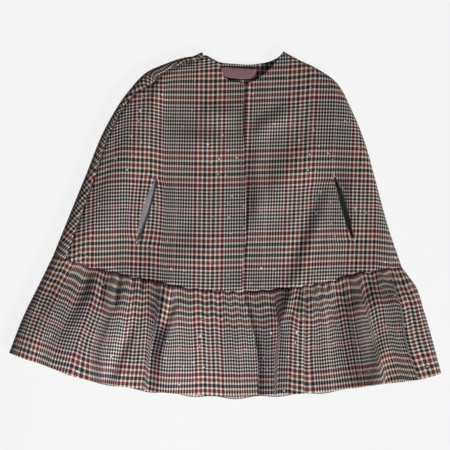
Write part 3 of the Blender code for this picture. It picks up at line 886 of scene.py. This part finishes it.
# Bar tacks
# A close row of cream thread stitches at each end of both arm slits, sewn by machine through the two lips and
# the cloth beyond them, so that the slits don't tear.
Tack = namedtuple("Tack", "x down turn")
LEFT_TACKS = (Tack(-96.2, 179.6, 1.0), Tack(-124.8, 271.4, 0.95))
RIGHT_TACKS = (Tack(154.6, 176.6, 2.0), Tack(182.3, 268.6, 2.2))
TACK_STITCHES, TACK_PITCH = 11, 0.5
STITCH_SLANT = 0.22
STITCH_SIZE = (0.6, 1.6, 0.55)

thread, tree, shader = new_material("cream_thread", {"Roughness": 0.6, "Sheen Weight": 0.1})
coordinates = tree.nodes.new("ShaderNodeTexCoord").outputs["Object"]
twist = add_node(
    tree, "ShaderNodeTexWave", {"Vector": coordinates, "Scale": 900}, bands_direction="DIAGONAL"
).outputs["Fac"]
# The plies are painted darker in the grooves of the twist and lighter on its crests, by the same wave that
# raises their relief: painted shade and light.
plies_with_painted_shade = blend_colours(tree, twist, (0.40, 0.36, 0.30, 1), (0.66, 0.61, 0.53, 1))
dyed, _ = add_group(tree, uneven_dye, Colour=plies_with_painted_shade, Place=coordinates, Scale=1500, Amount=0.5)
finish_surface(tree, shader, dyed, twist, depth=0.1, strength=0.5)

stitches = bmesh.new()
for tacks, folds, neck in ((LEFT_TACKS, LEFT_FOLDS, left_neck), (RIGHT_TACKS, RIGHT_FOLDS, right_neck)):
    for tack in tacks:
        for i in range(TACK_STITCHES):
            along_bar = TACK_PITCH * (i - (TACK_STITCHES - 1) / 2)
            x, down = tack.x + along_bar * cos(tack.turn), tack.down - along_bar * sin(tack.turn)
            height = front_height(np.array([(x, down)]), folds, neck)[0]
            bmesh.ops.create_uvsphere(
                stitches, u_segments=8, v_segments=6, radius=0.5,
                matrix=Matrix.Translation((x * MM, (MIDDLE_DOWN - down) * MM, height * MM))
                @ Matrix.Rotation(tack.turn + STITCH_SLANT * (-1) ** i, 4, "Z")
                @ Matrix.Diagonal((*(size * MM for size in STITCH_SIZE), 1)),
            )
bar_tacks = add_piece("bar_tacks", stitches, thread)
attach(bar_tacks, "root")

# Back ruffle
# A straight strip of the check cloth, gathered and sewn to the back's lower edge. It lies on the table under
# the front ruffles and peeks out in waves at their hem.
LEFT_RUFFLE_SIDE = rows_of(
    Side, (-244, 290, 17, 13), (-262, 327, 17, 13), (-287, 378, 18, 13), (-307, 429, 18, 12),
)
RIGHT_RUFFLE_SIDE = rows_of(
    Side, (251, 307, 17, 13), (260, 319, 17, 14.5), (270, 333, 17, 16), (283, 371, 18, 18),
    (307, 458, 18, 19),
)
HEM = rows_of(
    Place, (-307, 429), (-293, 435), (-254, 449), (-220, 462), (-150, 477), (-80, 486), (-31, 490), (4, 492),
    (82, 488), (156, 482.5), (220, 472), (268, 466), (307, 458),
)
TURNED_UNDER = 10.0
HEM_PEEK, HEM_PEEK_WAVE = 3.0, 62.0
BACK_RUFFLE_COLUMNS, BACK_RUFFLE_ROWS = 240, 40
RUFFLE_CUT = 149.0
RUFFLE_RED = 83.8
RUFFLE_FULLNESS = 1.4

hem = down_at(HEM)
left_ruffle_side = FoldedSide(LEFT_RUFFLE_SIDE, hand=1, seam_share=0)
right_ruffle_side = FoldedSide(RIGHT_RUFFLE_SIDE, hand=-1, seam_share=0)


def beside_under(side):
    """The edge of the back ruffle beside a front ruffle's cloth that is turned under."""
    return lambda share: side.inside(share, side.roll(share) + TURNED_UNDER + SEAM_GAP)


def back_ruffle_place(column, row):
    share = row / BACK_RUFFLE_ROWS
    across = column / BACK_RUFFLE_COLUMNS
    rails = (beside_under(side) for side in (left_ruffle_side, right_ruffle_side))
    place = patch(*rails, ruffle_seam, hem, across, share)
    wave = ease(np.sin(pi * across)) * (1 + np.sin(place[:, 0] * 2 * pi / HEM_PEEK_WAVE)) / 2
    place[:, 1] += SEAM_GAP * (1 - share) + HEM_PEEK * wave * share
    warp = count_yarns(WARP, place[:, 0] * RUFFLE_FULLNESS)
    return *place.T, np.zeros(len(place)), warp, count_yarns(WEFT, share * RUFFLE_CUT - RUFFLE_RED)


ruffle_back = lay_cloth(
    "back_ruffle", BACK_RUFFLE_COLUMNS, BACK_RUFFLE_ROWS, back_ruffle_place, False, check_cloth
)
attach(ruffle_back, "root")
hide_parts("ruffle_back")

# Right front ruffle
# A gathered strip of the check cloth on the right front's lower edge. Its flutes fall open towards the hem,
# its front edge tucks under the left ruffle, and it rolls over the right side.
RUFFLE_ROWS = 84
# Columns under the side fold, round it and on to the centre
RUFFLE_COLUMNS = (4, 20, 200)
# Crest and valley lines of the flutes: x at the seam, a third and two thirds down and at the hem, and their
# height in the middle and at the hem
Crease = namedtuple("Crease", "seam upper lower hem height hem_height")
RIGHT_CREASES = rows_of(
    Crease, (40, 40, 40, 42, 0, -0.5), (62, 68, 68, 68, 5, 7.5), (68.7, 74, 75, 75, 5.5, 8),
    (76, 82, 83, 83, 8, 8.2), (94, 100, 101, 103, 7.5, 6.5), (108, 116, 118, 120, 4.5, 4),
    (129, 138, 140, 144, 2.5, 2), (143, 148, 155, 163, -2, -2), (150, 155, 163, 172, -3, -3),
    (190, 192, 199, 212, 8, 8.5), (208.6, 220, 243, 256, 8.5, 7.5), (236, 242, 264, 279, 8, 6.5),
    (251, 266, 282, 296, 6, 5),
)
RIGHT_RUFFLE_FOLDS = rows_of(
    Fold, (98, 330, 78, 392, 18, 2.4), (112, 326, 104, 380, 14, 1.8), (222, 404, 212, 496, 36, 3.4),
)
# How the ruffle swells below the seam and sinks to the hem: the rise, the height at the hem and how deep
# its gathers are
Swell = namedtuple("Swell", "x rise hem gathers")
RIGHT_SWELL = rows_of(
    Swell, (20, 0.5, 5.8, 0.6), (60, 2, 7, 0.8), (95, 4.5, 14.5, 1.4), (150, 3.5, 14.5, 1.4),
    (200, 4.5, 16.5, 1), (250, 4.5, 17, 0.9), (300, 4, 17, 0.8),
)
RUFFLE_PUFF_END = 48.0
RUFFLE_SEAM_DIP = 0.5
RIGHT_RUFFLE_COVERS = rows_of(Cover, (1.0, 0.5, 7.0))
# Shares of the depth: where the swell is full, where it starts to sink and how steeply, where the flutes are
# open and start to change to their height at the hem, and where the rows come free and are at their levels
SWELL_FULL, SINK_FROM, SINK_POWER = 0.36, 0.3, 2.3
FLUTE_START, FLUTE_OPEN, FLUTE_CHANGE = 0.2, 0.35, 0.45
ROWS_FREE, ROWS_UPPER, ROWS_LOWER = 0.22, 0.33, 0.82
GATHER_START, GATHER_FULL = 0.5, 8.0
# Warp lines of the ruffle: the yarn's count and its x at the same four levels; hidden cloth is close together
RuffleGrain = namedtuple("RuffleGrain", "yarn seam upper lower hem")
RIGHT_RUFFLE_WARP = rows_of(
    RuffleGrain, (-241, 14.1, 15.5, 14.8, 14.1), (-212, 38.9, 41, 40.3, 40.3),
    (-183, 63.8, 66.6, 66.3, 66.3), (-166, 68.7, 75.5, 71.6, 70), (-115, 70.9, 77.2, 72.9, 71.4),
    (-98, 83, 78.4, 74.1, 72.7), (-77, 103.5, 93.9, 92.2, 90.7), (-55, 113.5, 112, 111, 110.5),
    (-39, 115.5, 114, 113, 112.7), (-29, 121.3, 122.3, 122.4, 125.5), (0, 134, 145.1, 148.4, 153.2),
    (29, 156.1, 163.2, 171.7, 181.6), (49, 168, 175.2, 183, 190.8), (68, 170, 177.2, 185.2, 193),
    (77, 177, 182.3, 190.8, 197.9), (106, 184.5, 191.6, 201.1, 210), (135, 189, 200.8, 212.9, 226.3),
    (153, 191.5, 203.2, 215.2, 228.6), (183, 213.6, 222.8, 229.9, 244.8), (212, 227, 240.3, 247.3, 263.5),
    (222, 231, 246.5, 254.5, 272), (255, 233, 248.5, 256.5, 274.2), (289, 256.2, 274.6, 288.1, 303),
    (318, 261.1, 281.7, 295.9, 312.3),
)
# How far the ruffle's rows lie lower than level by the warp yarn, a third down and near the hem
RowDrop = namedtuple("RowDrop", "yarn upper lower")
RIGHT_RUFFLE_WEFT = rows_of(
    RowDrop, (-194, 3.2, 3), (-171, 3.2, 3), (-95, -7.4, -5.9), (-79, -6, -6), (-62, 0.3, -2),
    (-34, 3.2, 1.2), (52, 3.2, 2.6), (127, 5, 3), (143, -1, -4), (166, -5, -7), (193, -5.6, -7.6),
    (222, -3, -2.5), (247, 3, 0.5), (290, 3.2, 1.2),
)

hem_at_centre = float(hem(CENTRE[-1].x))
ruffle_edges = side_points(left_ruffle_side, right_ruffle_side)


def at_levels(table, share):
    """The x of each line of a table at each share, between its four levels."""
    levels = np.array([(row.seam, row.upper, row.lower, row.hem) for row in table], float)
    return smooth_curve(np.linspace(0, 1, 4), levels.T)(share)


def flute_height(x, share, creases):
    """Height of the flutes, which swell and fall between their crest and valley lines."""
    middle, low = np.array([(crease.height, crease.hem_height) for crease in creases], float).T
    heights = middle + (low - middle) * ease((share[:, None] - FLUTE_CHANGE) / (1 - FLUTE_CHANGE))
    opened = FLUTE_START + (1 - FLUTE_START) * ease(share / FLUTE_OPEN)
    return between_lines(x, at_levels(creases, share), heights, ease) * opened


def ruffle_place(side, rail, swell, creases, folds, grain, drift, covers, column, row):
    """A point of a front ruffle; its columns run from the cloth turned under to the centre edge."""
    share = row / RUFFLE_ROWS
    to_seam = share * RUFFLE_CUT
    to_fold, round_fold, across = runs(column, RUFFLE_COLUMNS)
    turn = 1 - round_fold
    place = patch(side.rolled, rail, ruffle_seam, hem, across, share)
    flat = place.copy()
    x = place[:, 0]
    at, *swells = np.array(swell, float).T
    rise, hem_level, depth = (np.interp(x, at, values) for values in swells)
    level = LEVEL + rise * ease(share / SWELL_FULL)
    level += (hem_level - level) * np.maximum(0, (share - SINK_FROM) / (1 - SINK_FROM)) ** SINK_POWER
    height, distance = resting_height(place, ruffle_edges, level, RUFFLE_PUFF_END)
    cover = underlap(place, covers)
    start = GATHER_START + (1 - GATHER_START) * ease(to_seam / GATHER_FULL)
    waves = flute_height(x, share, creases) + pucker(x, to_seam) * depth * start
    waves += fold_height(folds, place)
    height += waves * (1 - cover) * clear_of_fold(distance)
    height -= UNDERLAP_DROP * cover + RUFFLE_SEAM_DIP * ease(1 - to_seam / SEAM_DIP_WIDTH)
    side.roll_over(share, turn, TURNED_UNDER * (1 - to_fold), place, height, flat)
    warp = between_lines(flat[:, 0], at_levels(grain, share), [line.yarn for line in grain])
    deeper = np.clip((share - ROWS_UPPER) / (ROWS_LOWER - ROWS_UPPER), 0, 1)
    drop = between_levels(drift, warp, deeper) * ease(share / ROWS_FREE)
    fallen = to_seam + (flat - place)[:, 1] - drop
    place[:, 1] += SEAM_GAP * (1 - share)
    return *place.T, height, warp, count_yarns(WEFT, fallen - RUFFLE_RED)


right_ruffle_centre = centre_rail(seam_at_centre, hem_at_centre, UNDERLAP)
right_ruffle_place = partial(
    ruffle_place, right_ruffle_side, right_ruffle_centre, RIGHT_SWELL, RIGHT_CREASES, RIGHT_RUFFLE_FOLDS,
    RIGHT_RUFFLE_WARP, RIGHT_RUFFLE_WEFT, RIGHT_RUFFLE_COVERS,
)
ruffle_right = lay_cloth(
    "right_ruffle", sum(RUFFLE_COLUMNS), RUFFLE_ROWS, right_ruffle_place, False, check_cloth
)
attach(ruffle_right, "root")
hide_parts("ruffle_front_right")

# Left front ruffle
# A gathered strip of the check cloth on the left front's lower edge. Its front edge lies over the right
# ruffle, and it rolls over the left side.
LEFT_CREASES = rows_of(
    Crease, (-237, -257, -277, -294, 2.5, 0), (-189, -213, -240, -262, 0, 0), (-172, -192, -214, -235, 5, 1),
    (-149, -163, -182, -187, 4, 0.5), (-143, -154, -173, -176, 6, 3), (-131, -106, -106, -112, -2.2, -2),
    (-104, -84, -86, -90, 8.5, 4), (-57, -50, -36, -28.5, 2, 0.3), (28, 40, 45, 50, 1, 0.2),
)
LEFT_RUFFLE_FOLDS = rows_of(
    Fold, FLAT_SIDE, (-46, 348, 40, 440, 32, 3), (-92, 326, -80, 384, 20, 2),
    (-66, 334, -104, 440, 22, -3.6), (-126, 372, -172, 486, 28, -5),
)
LEFT_SWELL = rows_of(
    Swell, (-300, 6, 5, 0.8), (-230, 7, 3.4, 0.8), (-160, 6.5, 3.4, 1), (-100, 2.5, 3.2, 1.4),
    (-60, -0.5, 1.6, 0.7), (-10, 0, 1.6, 0.5), (20, 0.5, 2.4, 0.5), (50, 1, 3.4, 0.6),
)
LEFT_RUFFLE_WARP = rows_of(
    RuffleGrain, (-530, -248.6, -272.8, -292.7, -309.7), (-485, -235.9, -260, -278.5, -293.4),
    (-453, -214, -238, -257.2, -270.9), (-424, -197.5, -216, -235.2, -250.9),
    (-395, -178.5, -190.4, -207.5, -221.7), (-366, -162.3, -171.4, -187, -192),
    (-348, -160, -169.1, -184.7, -189.7), (-318, -147, -159.2, -168.7, -173.4),
    (-289, -130.8, -137.2, -144.3, -151.7), (-241, -108.5, -108.9, -111.9, -117),
    (-228, -99, -100, -109.6, -114), (-158, -91, -97.4, -107.3, -111.6),
    (-135, -73.6, -81.1, -92.4, -96.5), (-106, -70.4, -68.3, -66.9, -69.7), (-77, -44.6, -43.5, -41.3, -40.9),
    (-29, -7.5, -5.8, -4, -2.3), (0, 16.3, 20.2, 23.3, 25.4), (29, 42, 45.7, 48.8, 51),
)
LEFT_RUFFLE_WEFT = rows_of(
    RowDrop, (-519, 0, 2.5), (-473, 0, 2.5), (-448, 2, 3), (-421, 6, 4.5), (-395, 0, 1.2),
    (-364, 5.5, 4), (-330, 6.8, 4), (-290, 3.2, 3), (-243, -2.1, -0.8), (-137, 6.8, 4.8),
    (-117, 5, 4.8), (-62, 1, -0.5), (26, 1, -0.5),
)

left_ruffle_centre = centre_rail(seam_at_centre, hem_at_centre)
left_ruffle_place = partial(
    ruffle_place, left_ruffle_side, left_ruffle_centre, LEFT_SWELL, LEFT_CREASES, LEFT_RUFFLE_FOLDS,
    LEFT_RUFFLE_WARP, LEFT_RUFFLE_WEFT, (),
)
ruffle_left = lay_cloth(
    "left_ruffle", sum(RUFFLE_COLUMNS), RUFFLE_ROWS, left_ruffle_place, True, check_cloth
)
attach(ruffle_left, "root")
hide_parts("ruffle_front_left")

# Floor, light and camera
# A plain pale floor that glows a little. One soft lamp stands at the lower right and a faint one low in
# front, and the camera looks straight down.
FLOOR_REACH, FLOOR_DROP = 3.0, 0.0003
pale, *_ = new_material("pale_floor", {
    "Base Color": (0.04, 0.04, 0.04, 1), "Roughness": 0.9,
    "Emission Color": (1, 1, 1, 1), "Emission Strength": 0.86,
})
ground = bmesh.new()
bmesh.ops.create_grid(ground, x_segments=1, y_segments=1, size=FLOOR_REACH)
bmesh.ops.translate(ground, vec=(0, 0, -FLOOR_DROP), verts=ground.verts)
floor = add_piece("floor", ground, pale)

scene = bpy.context.scene
scene.view_settings.view_transform = "Standard"
scene.world = bpy.data.worlds.new("studio")
scene.world.use_nodes = True
set_inputs(scene.world.node_tree.nodes["Background"], {"Color": (0.97, 0.99, 1.05, 1), "Strength": 0.125})

Lamp = namedtuple("Lamp", "name x y z aim_x aim_y size spread watts blue")
LAMPS = rows_of(
    Lamp, ("key", 3.6, -4, 2.4, -0.13, 0.08, 1.3, 0.42, 15.5, 1),
    ("low lamp", -0.2, -0.75, 0.45, -0.07, -0.22, 0.3, 0.8, 0.2, 1.35),
)
for lamp in LAMPS:
    light = bpy.data.lights.new(lamp.name, "AREA")
    light.energy = lamp.watts
    light.size = lamp.size
    light.color = (1, 1, lamp.blue)
    light.spread = lamp.spread
    holder = bpy.data.objects.new(lamp.name, light)
    stand = Vector((lamp.x, lamp.y, lamp.z))
    from_aim = stand - Vector((lamp.aim_x, lamp.aim_y, 0))
    holder.matrix_world = Matrix.Translation(stand) @ from_aim.to_track_quat("Z", "Y").to_matrix().to_4x4()
    scene.collection.objects.link(holder)

VIEW_X, VIEW_Y, VIEW_Z = -0.0001, 0.0004, 0.008
VIEW_WIDTH = 0.639
LENS, SENSOR = 135.0, 36.0
camera_data = bpy.data.cameras.new("camera")
camera_data.lens = LENS
camera_data.sensor_width = SENSOR
camera = bpy.data.objects.new("camera", camera_data)
camera.location = (VIEW_X, VIEW_Y, VIEW_Z + VIEW_WIDTH * LENS / SENSOR)
scene.collection.objects.link(camera)
scene.camera = camera
